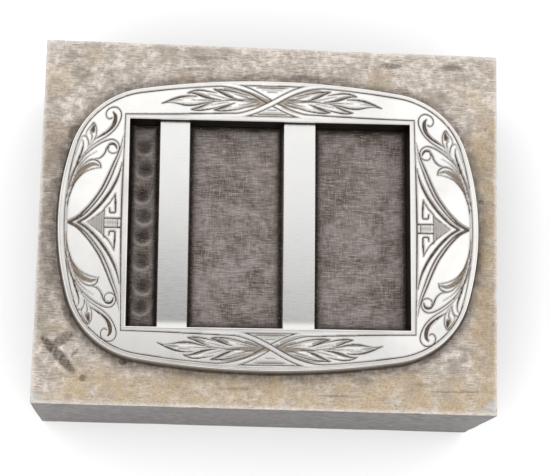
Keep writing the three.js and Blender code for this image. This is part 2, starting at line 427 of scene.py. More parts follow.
# The strap that crosses the band over the other, rising to the right, and its half width
STRAP = [(-9.6, 18.9), (-7.8, 18.94), (-6.05, 19.02), (-5.05, 19.2), (-4.05, 19.5),
         (-3.05, 19.86), (-2.05, 20.3), (-1.05, 20.8), (-0.05, 21.32), (0.95, 21.9),
         (1.95, 22.48), (2.95, 23.02), (3.95, 23.5), (4.95, 23.88), (5.95, 24.2),
         (6.95, 24.42), (8.2, 24.58), (9.6, 24.6)]
STRAP_HALF = 0.43
STRAP_LINE = 0.24
STRAP_REACH = 8.7
LEDGE_Y = 18.92
LEDGE_SHADE = 0.16
CROSSING_TOP = 24.55

# Hatching beside the crossing: each line's height, half length and width
HATCHES = [(24.42, 5.1, 0.24), (24.08, 2.7, 0.14), (23.7, 1.7, 0.12), (23.32, 0.8, 0.1),
           (18.98, 4.9, 0.24), (19.34, 2.7, 0.14), (19.72, 1.7, 0.12), (20.08, 0.8, 0.1)]


def border_cuts(work, x, y):
    """The line that follows the outline, and the one round the window."""
    inset = outline_depth(x, y) - np.interp(np.abs(y), BORDER_HEIGHTS, BORDER_INSETS)
    inset = np.abs(inset) - BORDER_WIDTH / 2
    inset = np.where((np.abs(x) < BORDER_GAP) & (np.abs(y) > 15), FAR, inset)
    work.outside = np.minimum(work.outside, inset)
    work.cut([(-25.08, 18.86), (-25.18, 13.5), (-25.34, 7.5), (-25.42, 0.0)],
             (0.2, 0.24, 0.4, 0.42))
    work.cut([(-25.08, 18.86), (-18.0, 19.0), (-13.0, 19.18), (-BORDER_GAP, 19.36)],
             (0.22, 0.28, 0.28))


def crossing_cuts(work):
    """Two straps that cross in the middle of a band; the second lies over the first."""
    line = np.array(STRAP)
    for points in (line * (-1, 1), line):
        near, found = work.reach(points)
        x, y = np.abs(work.x[near]), work.y[near]
        body = np.where(x < STRAP_REACH, STRAP_HALF - found, -FAR)
        work.outside[near] = np.maximum(work.outside[near], body)
        edge = np.abs(found - STRAP_HALF) - STRAP_LINE / 2
        edge = np.maximum(edge, LEDGE_Y - y)
        edge = np.maximum(edge, x - STRAP_REACH)
        edge = np.maximum(edge, y - CROSSING_TOP)
        work.outside[near] = np.minimum(work.outside[near], edge)


def engrave(x, y):
    """How far each point of the form's frame lies outside the nearest cut."""
    panel = Engraving(-np.abs(x), np.abs(y - END_AXIS_Y))
    for points, widths in END_CUTS.values():
        panel.cut(points, widths)
    for points, widths in CELL_CUTS.values():
        panel.cut(points, widths, curved=False)
    key = Engraving(-np.abs(x), np.abs(y - END_AXIS_Y) + KEY_LIFT * (y < END_AXIS_Y))
    for points, widths in KEY_CUTS.values():
        key.cut(points, widths, curved=False)
    # hatching across the key's triangle and its cell
    for x_line in np.arange(28.75, 31.0, HATCH_PITCH):
        tall = KEY_SLOPE * (KEY_TIP - x_line)
        panel.cut([(-x_line, 0.0), (-x_line, tall)], (0.17, 0.13), curved=False)
    for x_line in 26.0 + HATCH_PITCH * np.arange(5):
        panel.cut([(-x_line, 0.0), (-x_line, 0.55)], (0.16, 0.16), curved=False)
    panel.leave([(-27.25, 18.2), (-27.6, 17.0), (-28.6, 15.85)], (0.02, 0.07, 0.02))
    # a row of short dashes down the outer leaf
    for share in np.linspace(0, 1, 9):
        at = np.array([-31.45 - 2.3 * share, 12.8 - 3.9 * share - 0.9 * share * (1 - share)])
        dash = (at, at + np.array([-0.1, -0.24]))
        panel.cut(dash, (0.24 - 0.1 * share, 0.16 - 0.06 * share), curved=False)

    band = Engraving(-np.abs(x - BAND_AXIS_X), np.abs(y))
    for points, widths in BAND_CUTS.values():
        band.cut(points, widths)

    border = Engraving(-np.abs(x), np.abs(y))
    border_cuts(border, x, y)

    crossing = Engraving(x - BAND_AXIS_X, np.abs(y))
    crossing.outside = np.minimum(band.outside, border.outside)
    for level, reach, width in HATCHES:
        crossing.cut([(-reach, level), (reach, level)], (width, width), curved=False)
    crossing_cuts(crossing)
    return np.minimum(np.minimum(panel.outside, key.outside), crossing.outside)


def shading(x, y):
    """How brown each point is: engraved shading in leaf hearts, lobes and the key's triangle, and
    painted shade by the crossing, on the outer rim and on the window ledge.
    """
    panel = Engraving(-np.abs(x), np.abs(y - END_AXIS_Y))
    band = Engraving(-np.abs(x - BAND_AXIS_X), np.abs(y))
    fields = [
        (panel, [(-29.5, 9.95), (-30.4, 10.15), (-31.5, 9.7), (-32.6, 8.7), (-33.5, 7.2),
                 (-34.1, 5.6)], (0.3, 0.75, 0.85, 0.75, 0.45, 0.1), 0.95),
        (panel, [(-28.2, 0.0), (-26.0, 0.0)], (0.6, 0.5), 0.3),
        (panel, [(-30.45, 16.9), (-30.7, 16.1)], (0.3, 0.95), 0.95),
        (panel, [(-33.6, 9.4), (-34.3, 7.4), (-34.7, 5.2)], (0.3, 0.5, 0.3), 0.7),
        (panel, [(-33.2, 8.9), (-32.2, 10.6), (-31.2, 11.6)], (0.2, 0.3, 0.1), 0.55),
        (band, [(-17.6, 21.35), (-16.4, 21.5), (-15.5, 21.55)], (0.2, 0.5, 0.2), 0.5),
        (band, [(-15.6, 21.9), (-13.6, 21.95)], (0.2, 0.12), 0.45),
        (band, [(-15.6, 21.0), (-13.4, 21.05), (-11.6, 21.3)], (0.2, 0.16, 0.12), 0.45),
        (band, [(-14.2, 22.95), (-12.6, 22.75), (-10.9, 22.3)], (0.2, 0.36, 0.2), 0.7),
        (band, [(-9.9, 23.5), (-8.4, 23.05), (-6.9, 22.4)], (0.2, 0.36, 0.26), 0.7),
        (band, [(-9.8, 20.0), (-8.4, 20.25), (-7.2, 20.7)], (0.2, 0.36, 0.26), 0.7),
        (band, [(-13.7, 19.95), (-12.4, 20.25), (-11.2, 20.7)], (0.2, 0.3, 0.2), 0.65),
        (band, [(-8.6, 23.2), (-6.4, 23.0), (-4.4, 22.5)], (0.1, 0.25, 0.3), 0.5),
        (band, [(-7.4, 20.25), (-5.2, 20.6), (-3.4, 21.1)], (0.1, 0.25, 0.3), 0.5),
        (band, [(-7.4, 21.85), (-5.0, 21.75), (-2.8, 21.8), (-0.4, 21.6)],
         (0.3, 0.5, 1.1, 0.8), 0.8),
        # painted shade: the under strap by the crossing, and beside the over strap, standing in for low
        # relief
        (band, [(-8.4, 23.8), (-6.0, 23.6), (-4.0, 23.05), (-2.4, 22.4), (-0.7, 21.6)],
         (0.2, 0.4, 0.55, 0.6, 0.5), 0.75),
        (band, [(-4.2, 20.5), (-2.4, 20.95), (-1.0, 21.3)], (0.2, 0.4, 0.6), 0.7),
        (band, [(-5.8, 19.25), (-3.8, 19.75), (-1.8, 20.6)], (0.1, 0.3, 0.5), 0.45),
        (band, [(-2.2, 24.1), (0.0, 24.05)], (0.3, 0.4), 0.6),
        (band, [(-2.4, 19.3), (0.0, 19.35)], (0.3, 0.5), 0.6),
    ]
    brown = np.zeros_like(x)
    for work, points, widths, strength in fields:
        near, found = work.reach(points, widths)
        brown[near] = np.maximum(brown[near], strength * smooth(0.12, -0.12, found))
    upper_strap = Engraving(x - BAND_AXIS_X, np.abs(y))
    near, found = upper_strap.reach(STRAP)
    brown[near] *= smooth(STRAP_HALF - 0.1, STRAP_HALF + 0.05, found)
    tip = KEY_TIP + 0.05 - np.abs(x)
    spread = np.minimum(KEY_SLOPE * tip - np.abs(y - END_AXIS_Y), np.abs(x) - 28.4)
    brown = np.maximum(brown, 0.5 * smooth(-0.05, 0.1, spread) * (tip > 0))
    # painted shade on the outer rim beyond the border line, stronger towards the left end
    rim = smooth(0.62, 0.3, outline_depth(x, y)) * (0.2 + 0.16 * smooth(-20, -34, x))
    brown = np.maximum(brown, rim)
    # painted shade on the ledge round the window
    ledge = smooth(25.4, 24.7, np.abs(x)) * smooth(19.2, 18.5, np.abs(y))
    return np.maximum(brown, LEDGE_SHADE * ledge)


# ------------------------------------------------------------------ meshes


def add_piece(name, points, faces, material, node, masks=None, sharp=40):
    """A mesh from millimetre points, which stands for one CAD node."""
    mesh = bpy.data.meshes.new(name)
    mesh.from_pydata((np.asarray(points) * MM).tolist(), [], faces)
    for mask, values in (masks or {}).items():
        mesh.attributes.new(mask, "FLOAT", "POINT").data.foreach_set("value", values)
    mesh.shade_smooth()
    mesh.set_sharp_from_angle(angle=math.radians(sharp))
    mesh.materials.append(material)
    piece = bpy.data.objects.new(name, mesh)
    bpy.context.scene.collection.objects.link(piece)
    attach(piece, "root")
    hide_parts(node)
    return piece


def join_rings(last, new):
    """Quads between two closed rings, given as lists of their vertices."""
    return list(zip(last, new, new[1:] + new[:1], last[1:] + last[:1]))


# ---- the buckle frame: a face refined where it is engraved, and drafted walls

FRAME_SIDE_CELLS = 23
FRAME_TOP_CELLS = 31
FRAME_DEEP_CELLS = 5
FRAME_LEVELS = 4
SNAP_SHARE = 0.46
EDGE_ROUND = 0.13
EDGE_LAND = 0.07
EDGE_BAND = EDGE_ROUND + EDGE_LAND
CUT_SLOPE = 1.1
CUT_DEPTH = 0.28
FRAME_ROOT = 0.45


def frame_lattice():
    """Inner and outer ends of the columns of the face's finest lattice."""
    scale = 2**FRAME_LEVELS
    inner = rectangle_ring(WINDOW_HALF, FRAME_SIDE_CELLS * scale, FRAME_TOP_CELLS * scale)
    outer = inner / WINDOW_HALF * BLOCK_HALF
    share = meet_outline(inner, outer, EDGE_BAND)
    return inner * (1 + EDGE_BAND / WINDOW_HALF), inner + share[:, None] * (outer - inner)


def cells_to_split(at):
    """Which cells of each level are crossed by the edge of a cut."""
    inside = engrave(at[..., 0].ravel(), at[..., 1].ravel()).reshape(at.shape[:2]) < 0
    inside = np.vstack([inside, inside[:1]])
    corners = [inside[:-1, :-1], inside[1:, :-1], inside[:-1, 1:], inside[1:, 1:]]
    crossed = np.any(corners, 0) & ~np.all(corners, 0)
    long, deep = crossed.shape
    split = []
    for level in range(FRAME_LEVELS):
        step = 2 ** (FRAME_LEVELS - level)
        split.append(crossed.reshape(long // step, step, deep // step, step).any((1, 3)))
    split[0][:] = True
    split[1][:, [0, -1]] = True
    return split


def balance(split):
    """Splits more cells until neighbours differ by one level at the most."""
    for level in range(len(split) - 1, 0, -1):
        wide = split[level] | np.roll(split[level], 1, 0) | np.roll(split[level], -1, 0)
        wide[:, 1:] |= split[level][:, :-1]
        wide[:, :-1] |= split[level][:, 1:]
        long, deep = wide.shape
        split[level - 1] |= wide.reshape(long // 2, 2, deep // 2, 2).any((1, 3))
    return split


def leaf_faces(split, long, deep):
    """Faces of the refined face, as pairs of lattice numbers folded into one key."""

    def key(i, j):
        return (i % long) * (deep + 1) + j

    faces = []
    for level in range(FRAME_LEVELS + 1):
        step = 2 ** (FRAME_LEVELS - level)
        half = step // 2
        shape = (long // step, deep // step)
        there = np.ones(shape, bool)
        if level:
            there = np.repeat(np.repeat(split[level - 1], 2, 0), 2, 1)
        finer = split[level] if level < FRAME_LEVELS else np.zeros(shape, bool)
        i, j = np.nonzero(there & ~finer)
        edge = np.zeros((shape[0], 1), bool)
        low = np.hstack([edge, finer[:, :-1]])[i, j]
        high = np.hstack([finer[:, 1:], edge])[i, j]
        back = np.roll(finer, 1, 0)[i, j]
        fore = np.roll(finer, -1, 0)[i, j]
        i, j = i * step, j * step
        corners = [key(i, j), key(i, j + step), key(i + step, j + step), key(i + step, j)]
        middles = [key(i, j + half), key(i + half, j + step)]
        middles += [key(i + step, j + half), key(i + half, j)]
        flags = [back, high, fore, low]
        plain = ~(back | high | fore | low)
        faces += np.stack(corners, 1)[plain].tolist()
        centre = key(i + half, j + half)
        for side in range(4):
            a, b, m = corners[side], corners[(side + 1) % 4], middles[side]
            whole = ~plain & ~flags[side]
            faces += np.stack([centre, a, b], 1)[whole].tolist()
            faces += np.stack([centre, a, m], 1)[flags[side]].tolist()
            faces += np.stack([centre, m, b], 1)[flags[side]].tolist()
    return faces


def room_round(at, faces):
    """The shortest edge that meets each point."""
    room = np.full(len(at), FAR)
    for size in (3, 4):
        same = np.array([face for face in faces if len(face) == size])
        for first, second in zip(same.T, np.roll(same, 1, 1).T):
            length = np.linalg.norm(at[first] - at[second], axis=1)
            np.minimum.at(room, first, length)
            np.minimum.at(room, second, length)
    return room


def snap_to_cuts(at, faces, movable):
    """Moves the lattice points that nearly touch a cut's edge onto it."""
    step = 0.01
    outside = engrave(at[:, 0], at[:, 1])
    close = np.flatnonzero(movable & (np.abs(outside) < SNAP_SHARE * room_round(at, faces)))
    x, y = at[close].T
    slope_x = (engrave(x + step, y) - engrave(x - step, y)) / (2 * step)
    slope_y = (engrave(x, y + step) - engrave(x, y - step)) / (2 * step)
    steep = np.maximum(slope_x**2 + slope_y**2, 0.5)
    at = at.copy()
    at[close] -= (outside[close] / steep)[:, None] * np.column_stack([slope_x, slope_y])
    return at


def zip_rings(first, first_at, second, second_at):
    """Triangles between two closed rings whose vertices stand at different shares of the way."""
    faces = []
    a = b = 0
    while a < len(first) or b < len(second):
        next_a = first_at[a + 1] if a + 1 < len(first) else 1.0
        next_b = second_at[b + 1] if b + 1 < len(second) else 1.0
        here, there = first[a % len(first)], second[b % len(second)]
        if b >= len(second) or (a < len(first) and next_a <= next_b):
            faces.append((here, there, first[(a + 1) % len(first)]))
            a += 1
        else:
            faces.append((here, there, second[(b + 1) % len(second)]))
            b += 1
    return faces


def buckle_frame(material):
    inner, outer = frame_lattice()
    long, deep = len(inner), FRAME_DEEP_CELLS * 2**FRAME_LEVELS
    rows = np.linspace(0, 1, deep + 1)[None, :, None]
    split = balance(cells_to_split(inner[:, None] * (1 - rows) + outer[:, None] * rows))
    faces = leaf_faces(split, long, deep)
    keys = np.unique(np.concatenate([np.ravel(face) for face in faces]))
    column, row = keys // (deep + 1), keys % (deep + 1)
    share = (row / deep)[:, None]
    at = inner[column] * (1 - share) + outer[column] * share
    where = {k: n for n, k in enumerate(keys.tolist())}
    faces = [tuple(where[k] for k in face) for face in faces]
    at = snap_to_cuts(at, faces, (row > 0) & (row < deep))

    outside = engrave(at[:, 0], at[:, 1])
    brown = shading(at[:, 0], at[:, 1])
    hollow = np.clip(-outside * CUT_SLOPE, 0, CUT_DEPTH) + 0.03 * brown
    points = [np.column_stack([at, FACE_Z - hollow])]
    patina_and_wall_shade = [np.maximum(smooth(-0.05, 0.06, -outside), 0.25 * smooth(-0.22, -0.04, -outside))]
    shade = [brown]
    count = len(at)

    def add_ring(ring, height, dark):
        nonlocal count
        points.append(np.column_stack([ring, np.full(len(ring), height)]))
        patina_and_wall_shade.append(np.full(len(ring), dark))
        shade.append(np.zeros(len(ring)))
        count += len(ring)
        return list(range(count - len(ring), count))

    rims = {}
    for name, rim_row in (("inner", 0), ("outer", deep)):
        on_rim = np.flatnonzero(row == rim_row)
        rims[name] = on_rim[np.argsort(column[on_rim])]
    ring_at = {name: column[rim] / long for name, rim in rims.items()}

    # outer wall: rounded edge, drafted flank, and a root hidden below the ground; the dark values down
    # the flank are painted shade, darkest at its foot
    last = rims["outer"].tolist()
    rim = at[last]
    out = np.column_stack(outward(rim[:, 0], rim[:, 1]))
    relief = FACE_Z - GROUND_Z
    turns = np.radians([0, 30, 60])
    wall = [(EDGE_ROUND * math.sin(a), EDGE_ROUND * (1 - math.cos(a)), 0.0) for a in turns]
    wall += [(EDGE_ROUND + drop * FRAME_SLOPE, drop, dark)
             for drop, dark in ((0.18, 0.25), (0.7, 0.6), (1.3, 0.9), (relief, 1.0))]
    wall.append((EDGE_ROUND + relief * FRAME_SLOPE, relief + FRAME_ROOT, 1.0))
    for away, drop, dark in wall:
        new = add_ring(rim + out * (EDGE_LAND + away), FACE_Z - drop, dark)
        faces += join_rings(last, new)
        last = new
    outer_foot = last

    # window wall: rounded edge, then the draft down to the block; its dark values are painted shade, and
    # at 2 the colour turns near black
    last = rims["inner"].tolist()
    rim = at[last] / (1 + EDGE_BAND / WINDOW_HALF)
    wall = [(EDGE_ROUND * (1 - math.sin(a)), EDGE_ROUND * (1 - math.cos(a)), 0.0) for a in turns]
    wall += [(-drop * WELL_SLOPE, drop, dark)
             for drop, dark in ((0.16, 0.4), (0.34, 2.0), (1.2, 2.0), (relief, 2.0))]
    wall.append((0.4, relief + FRAME_ROOT, 1.0))
    for away, drop, dark in wall:
        new = add_ring(rim * (1 + away / WINDOW_HALF), FACE_Z - drop, dark)
        faces += [quad[::-1] for quad in join_rings(last, new)]
        last = new
    faces += zip_rings(outer_foot, ring_at["outer"], last, ring_at["inner"])

    points = np.vstack(points)
    points[:, :2] = np.column_stack(to_row(points[:, 0], points[:, 1]))
    masks = {"patina_and_wall_shade": np.concatenate(patina_and_wall_shade), "shade": np.concatenate(shade)}
    piece = add_piece("engraved_buckle_frame", points, faces, material, "buckle_frame",
                      masks, 50)
    flat_map(piece, points, FACE_Z - 0.5)


def flat_map(piece, points, hidden_below):
    """A map seen from above, with the walls and the underside laid out beside the face."""
    mesh = piece.data
    span = 2 * max(FRAME_HALF) + 4
    u = points[:, 0] / span + 0.5
    v = points[:, 1] / span + 0.34
    layer = mesh.uv_layers.new(name="OFBake")
    corner = np.empty(len(mesh.loops), int)
    mesh.loops.foreach_get("vertex_index", corner)
    starts = np.empty(len(mesh.polygons), int)
    totals = np.empty(len(mesh.polygons), int)
    mesh.polygons.foreach_get("loop_start", starts)
    mesh.polygons.foreach_get("loop_total", totals)
    face = np.repeat(np.arange(len(starts)), totals)
    lowest = np.minimum.reduceat(points[corner, 2], starts)[face]
    low = lowest < hidden_below
    uv = np.column_stack([u[corner], v[corner]])
    turn = (np.arctan2(points[corner, 1], points[corner, 0]) / (2 * math.pi)) % 1
    height = (points[corner, 2] - GROUND_Z + 0.5) / 3
    uv[low] = np.column_stack([turn * 0.96 + 0.02, 0.74 + 0.2 * height])[low]
    layer.data.foreach_set("uv", uv.ravel())


# ---- the block: sunk wells, filed ground round the frame, filed corners

POCKET_TOP_CELLS = 220
POCKET_SIDE_CELLS = 150
GROUND_ROWS = 52
MOAT_DEPTH = 0.3
MOAT_REACH = 1.5
BAR_SHADOW = 0.35
DIMPLES = 8
DIMPLE_PITCH = 4.0
DIMPLE_SIZE = 1.75
DIMPLE_DEPTH = 0.34
BLOCK_MASKS = ("moat", "well", "wall", "stain", "rim", "dark", "side", "worn", "ends", "facet")

# Blows and nicks on the block's edge: place, size and depth
NICKS = [
    (12.0, 31.95, 3.4, 0.14),
    (19.0, 31.95, 2.6, 0.2),
    (-22.0, 31.9, 1.4, 0.1),
    (26.0, -31.95, 1.0, 0.12),
    (-12.0, -31.95, 1.1, 0.12),
    (39.8, 9.0, 1.1, 0.12),
    (39.8, -11.0, 1.3, 0.14),
    (-39.8, 4.0, 1.3, 0.12),
]


def facet_share(x, y):
    """How far into a filed corner a place lies: 0 at the facet's inner edge, 1 at the tip."""
    share = np.zeros_like(x)
    for side, reach in CORNER_FACETS:
        over_x = (side[0] * x - BLOCK_HALF[0]) / reach[0]
        over_y = (side[1] * y - BLOCK_HALF[1]) / reach[1]
        share = np.maximum(share, over_x + over_y + 1)
    return share


def file_corners(points):
    """Lowers the filed corners straight down onto their facets."""
    facet = GROUND_Z - CORNER_DROP * facet_share(points[:, 0], points[:, 1])
    points[:, 2] = np.minimum(points[:, 2], facet)
    return points


def nick_edges(points):
    """Dents pressed in towards the block's middle."""
    for x, y, size, depth in NICKS:
        gap = np.linalg.norm(points - [x, y, GROUND_Z], axis=1) / size
        dent = depth * np.clip(1 - gap**2, 0, 1) ** 1.5
        inward = np.array([-x / 40 if abs(x) > 39 else 0, -y / 40 if abs(y) > 31 else 0, -1.0])
        points += dent[:, None] * inward
    return points


def dimple_field(x, y):
    """Round cutter marks in a column down the narrow well, in the form's frame: their depth, and a
    painted highlight on the lower side of each rim.
    """
    depth = np.zeros_like(x)
    rim = np.zeros_like(x)
    for k in range(DIMPLES):
        centre_x = -21.75 + 0.2 * math.sin(2.4 * k)
        centre_y = 13.9 - DIMPLE_PITCH * k + 0.35 * math.sin(1.7 * k + 1)
        size = DIMPLE_SIZE + 0.12 * math.sin(3.1 * k)
        gap = np.hypot(x - centre_x, y - centre_y) / size
        near = smooth(0.5, -0.9, (y - centre_y) / size)
        depth = np.maximum(depth, DIMPLE_DEPTH * np.clip(1 - gap**2, 0, 1))
        # a painted highlight on the lower side of each dimple's rim
        rim = np.maximum(rim, np.exp(-(((gap - 0.9) / 0.16) ** 2)) * near)
    return depth, rim


def grid_rim(top_count, side_count, stride):
    """Vertex numbers round a grid's edge, in the order of rectangle_ring."""
    right = [top_count * stride + j for j in range(side_count)]
    top = [i * stride + side_count for i in range(top_count, 0, -1)]
    left = [j for j in range(side_count, 0, -1)]
    bottom = [i * stride for i in range(top_count)]
    return right + top + left + bottom


def die_block(material):
    points, faces = [], []
    masks = {mask: [] for mask in BLOCK_MASKS}
    last = grid_rim(POCKET_TOP_CELLS, POCKET_SIDE_CELLS, POCKET_SIDE_CELLS + 1)

    def add(x, y, z, **values):
        """Adds vertices, with the masks that aren't zero there, and gives their numbers."""
        start = sum(len(part) for part in points)
        points.append(np.column_stack([x, y, np.broadcast_to(z, x.shape)]))
        for mask, stored in masks.items():
            stored.append(np.broadcast_to(values.get(mask, 0.0), x.shape).astype(float))
        return list(range(start, start + len(x)))

    def add_ring(x, y, z, **values):
        """Adds a closed ring of vertices and joins it to the ring before it."""
        nonlocal last, faces
        ring = add(x, y, z, **values)
        faces += join_rings(last, ring)
        last = ring

    # pocket floor
    narrow = WINDOW_HALF - (FACE_Z - FLOOR_Z) * WELL_SLOPE
    gx = np.linspace(-narrow[0], narrow[0], POCKET_TOP_CELLS + 1)
    gy = np.linspace(-narrow[1], narrow[1], POCKET_SIDE_CELLS + 1)
    x, y = (grid.ravel() for grid in np.meshgrid(gx, gy, indexing="ij"))
    dimple, rim = dimple_field(x, y)
    uneven = 0.04 * ripple(x, y, 2.6, 11) + 0.05 * ripple(x, y, 7.0, 12)
    edge_gap = np.minimum(narrow[0] - np.abs(x), narrow[1] - np.abs(y))
    for low, high in BARS.values():
        bar_gap = np.maximum(low - BAR_SHADOW - x, x - high - BAR_SHADOW)
        edge_gap = np.minimum(edge_gap, bar_gap)
    edge_away = np.maximum(edge_gap, 0)
    # painted shade along the well's walls and the bars' feet, in the dimples' hollows and over the
    # narrow well
    painted_corner_shade = np.exp(-((edge_away / 0.85) ** 2))
    painted_corner_shade = np.maximum(painted_corner_shade, 1.6 * dimple * (1 - rim) + 0.22 * (x < -19.5))
    fillet = 0.32 * np.exp(-edge_away / 0.35) + 0.02
    z = FLOOR_Z + 0.12 + uneven * (edge_gap > 0.05) - dimple + fillet
    add(*to_row(x, y), np.maximum(z, FLOOR_Z - 0.2), well=1.0, wall=painted_corner_shade, rim=rim)
    stride = POCKET_SIDE_CELLS + 1
    for i in range(POCKET_TOP_CELLS):
        for j in range(POCKET_SIDE_CELLS):
            a = i * stride + j
            faces.append((a, a + stride, a + stride + 1, a + 1))

    # pocket walls, up to the underside of the frame, painted in shade through the wall mask
    unit = rectangle_ring(np.ones(2), POCKET_SIDE_CELLS, POCKET_TOP_CELLS)
    for z in np.linspace(FLOOR_Z + 0.5, GROUND_Z, 5):
        half = WINDOW_HALF - (FACE_Z - z) * WELL_SLOPE
        add_ring(*to_row(*(unit * half).T), z, well=1.0, wall=1.0)

    # under the frame, then the ground out to the block's edge
    spread = (FACE_Z - GROUND_Z) * FRAME_SLOPE
    inner = unit * WINDOW_HALF
    target = np.column_stack(to_form(*(unit * (BLOCK_HALF - EDGE_CHAMFER)).T))
    share = meet_outline(inner, target, -spread + 0.02)
    foot = inner + share[:, None] * (target - inner)
    for part in (0.08, 0.9):
        add_ring(*to_row(*(inner + part * (foot - inner)).T), GROUND_Z - 0.7, wall=1.0)
    for t in np.linspace(0, 1, GROUND_ROWS) ** 1.15:
        at = foot + t * (target - foot)
        away = -outline_depth(at[:, 0], at[:, 1]) - spread
        x, y = to_row(*at.T)
        reach = MOAT_REACH * (1 + 0.35 * ripple(x, y, 16, 21))
        # the moat's share sets the dip, and the painted shade in its colour
        moat = np.exp(-((np.maximum(away, 0) / reach) ** 2))
        dents = 0.035 * ripple(x, y, 1.7, 22) + 0.05 * ripple(x, y, 6, 23)
        z = GROUND_Z - 0.1 - MOAT_DEPTH * moat + np.minimum(dents, 0.09)
        to_edge = np.minimum(BLOCK_HALF[0] - np.abs(x), BLOCK_HALF[1] - np.abs(y))
        add_ring(x, y, z, moat=moat, stain=stain_field(x, y), dark=smudges_and_painted_shade(x, y, away),
                 worn=0.7 * smooth(0.9, 0.2, to_edge), ends=smooth(24, 33, np.abs(x)),
                 facet=smooth(0.0, 0.16, facet_share(x, y)))

    # worn edge, sides and underside
    tall = GROUND_Z - BASE_Z
    sides = [(0.12, 0.16, 0.9), (0.0, 0.42, 0.5)]
    sides += [(0.0, drop, 0.0) for drop in np.linspace(0.9, tall - 0.7, 22)]
    sides += [(0.12, tall - 0.12, 0.0), (EDGE_CHAMFER, tall, 0.0)]
    for inset, drop, worn in sides:
        ring = unit * (BLOCK_HALF - inset)
        wave = 0.05 * ripple(ring[:, 0] + drop, ring[:, 1] - drop, 9, 31)
        wave = np.maximum(wave, 0)[:, None] if 0.3 < drop < tall - 0.6 else 0
        ring = ring * (1 - wave / BLOCK_HALF)
        add_ring(*ring.T, GROUND_Z - drop, side=1.0 - worn, worn=worn,
                 dark=0.45 * (1 - worn) * math.exp(-drop / 2.2))
    for part in (0.75, 0.4, 0.05):
        add_ring(*(unit * BLOCK_HALF * part).T, BASE_Z, side=1.0)
    faces.append(tuple(last[::-1]))

    points = file_corners(nick_edges(np.vstack(points)))
    points[:, 2] = np.clip(points[:, 2], BASE_Z, GROUND_Z)
    points[:, :2] = np.clip(points[:, :2], -BLOCK_HALF, BLOCK_HALF)
    masks = {mask: np.concatenate(stored) for mask, stored in masks.items()}
    add_piece("filed_die_block", points, faces, material, "die_block", masks, 32)


# Smudges and hammer marks on the ground: place, half sizes, turn in degrees and darkness
DARK_MARKS = [
    (-35.4, -23.5, 4.6, 0.95, -46, 1.0),
    (-34.7, -20.9, 2.2, 0.95, 36, 0.7),
    (-32.5, -23.1, 1.0, 0.24, 45, 0.8),
    (-24.3, -24.4, 0.85, 0.65, 10, 1.1),
    (-31.0, -27.4, 0.7, 0.6, 0, 0.8),
    (-26.6, -22.7, 3.0, 0.7, -38, 0.5),
    (-33.9, -16.8, 2.2, 0.8, -62, 0.55),
    (-37.6, -2.0, 1.5, 13.0, 0, 0.42),
    (-34.0, 15.2, 1.7, 1.3, 60, 0.6),
    (-36.0, 11.5, 1.2, 2.6, -10, 0.4),
    (-33.7, 26.0, 1.7, 1.5, 0, 0.34),
    (-28.1, 25.8, 1.7, 1.3, 0, 0.34),
    (-35.0, 29.0, 1.6, 0.6, 0, 0.4),
    (20.6, 29.4, 2.2, 0.6, 0, 0.7),
    (31.5, 29.4, 2.4, 0.6, 3, 0.6),
    (36.9, 5.4, 0.5, 0.5, 0, 0.9),
    (37.7, 18.4, 0.45, 0.2, -8, 0.6),
    (-5.0, -28.5, 3.0, 0.28, 2, 0.4),
    (12.0, -29.3, 4.0, 0.22, 0, 0.45),
    (33.0, -28.0, 5.0, 0.16, 1, 0.5),
    (27.0, -27.0, 2.2, 0.35, -4, 0.35),
    (16.5, -26.6, 2.0, 0.9, 4, 0.4),
    (-12.0, 29.5, 4.5, 0.35, 2, 0.35),
    (-14.0, 27.4, 3.0, 0.4, 6, 0.4),
    (6.0, 26.6, 9.0, 0.45, 0, 0.35),
]


def smudges_and_painted_shade(x, y, away):
    """Smudges, a black line along the frame's foot, and painted shade over the ground's left end; the
    right end is darker too.
    """
    dark = 0.95 * smooth(0.45, 0.15, away)
    broken = 0.85 + 0.3 * ripple(x, y, 0.8, 51)
    for centre_x, centre_y, long, wide, turn, strength in DARK_MARKS:
        c, s = math.cos(math.radians(turn)), math.sin(math.radians(turn))
        along = ((x - centre_x) * c + (y - centre_y) * s) / long
        over = (-(x - centre_x) * s + (y - centre_y) * c) / wide
        dark = np.maximum(dark, strength * smooth(1.1, 0.75, np.hypot(along, over)) * broken)
    # painted shade over the ground's left end; the right end is darkened a little as well
    left = smooth(-34.2, -38.0, x + 0.8 * ripple(x, y, 4, 52)) * smooth(26, 12, np.abs(y))
    right = smooth(34.8, 37.4, x + 0.6 * ripple(x, y, 5, 53)) * smooth(27, 15, np.abs(y + 2))
    return np.clip(np.maximum(dark, np.maximum(0.4 * left, 0.2 * right)), 0, 1)


def stain_field(x, y):
    """Golden-brown stains along the near and the right edge of the ground."""
    near = smooth(-23.0, -28.0, y + 1.4 * ripple(x, y, 9, 41)) * smooth(-39, -30, x)
    right = smooth(34.0, 37.4, x + 0.9 * ripple(x, y, 8, 42)) * smooth(27, 16, y)
    patches = smooth(0.35, 0.9, ripple(x, y, 11, 43)) * 0.4
    edges = np.maximum(near * 0.9, right * 1.1) * (0.8 + 0.4 * ripple(x, y, 4, 44))
    return np.clip(edges + patches, 0, 1)


# ---- the cross bars: crowned along their length, with a fine groove under each top edge

BAR_CROWN = {"end_cross_bar": 0.98, "middle_cross_bar": 0.76}
BAR_PEAK = 7.0
BAR_RISE = 0.16
BAR_GROOVE = 0.16
BAR_ROWS = 90
BAR_BITE = 0.12


def bar_profile(low, high):
    """Places across a bar, each with how far it lies below the bar's top."""
    groove = BAR_GROOVE * (1 - np.sin(np.radians([0, 30, 60, 90])))
    side = [(low, 1.0), (low, 0.5)] + [(low + step, step) for step in groove]
    across = np.linspace(low + BAR_GROOVE, high - BAR_GROOVE, 12)[1:-1]
    far_side = [(low + high - x, drop) for x, drop in reversed(side)]
    return side + [(x, 0.0) for x in across] + far_side


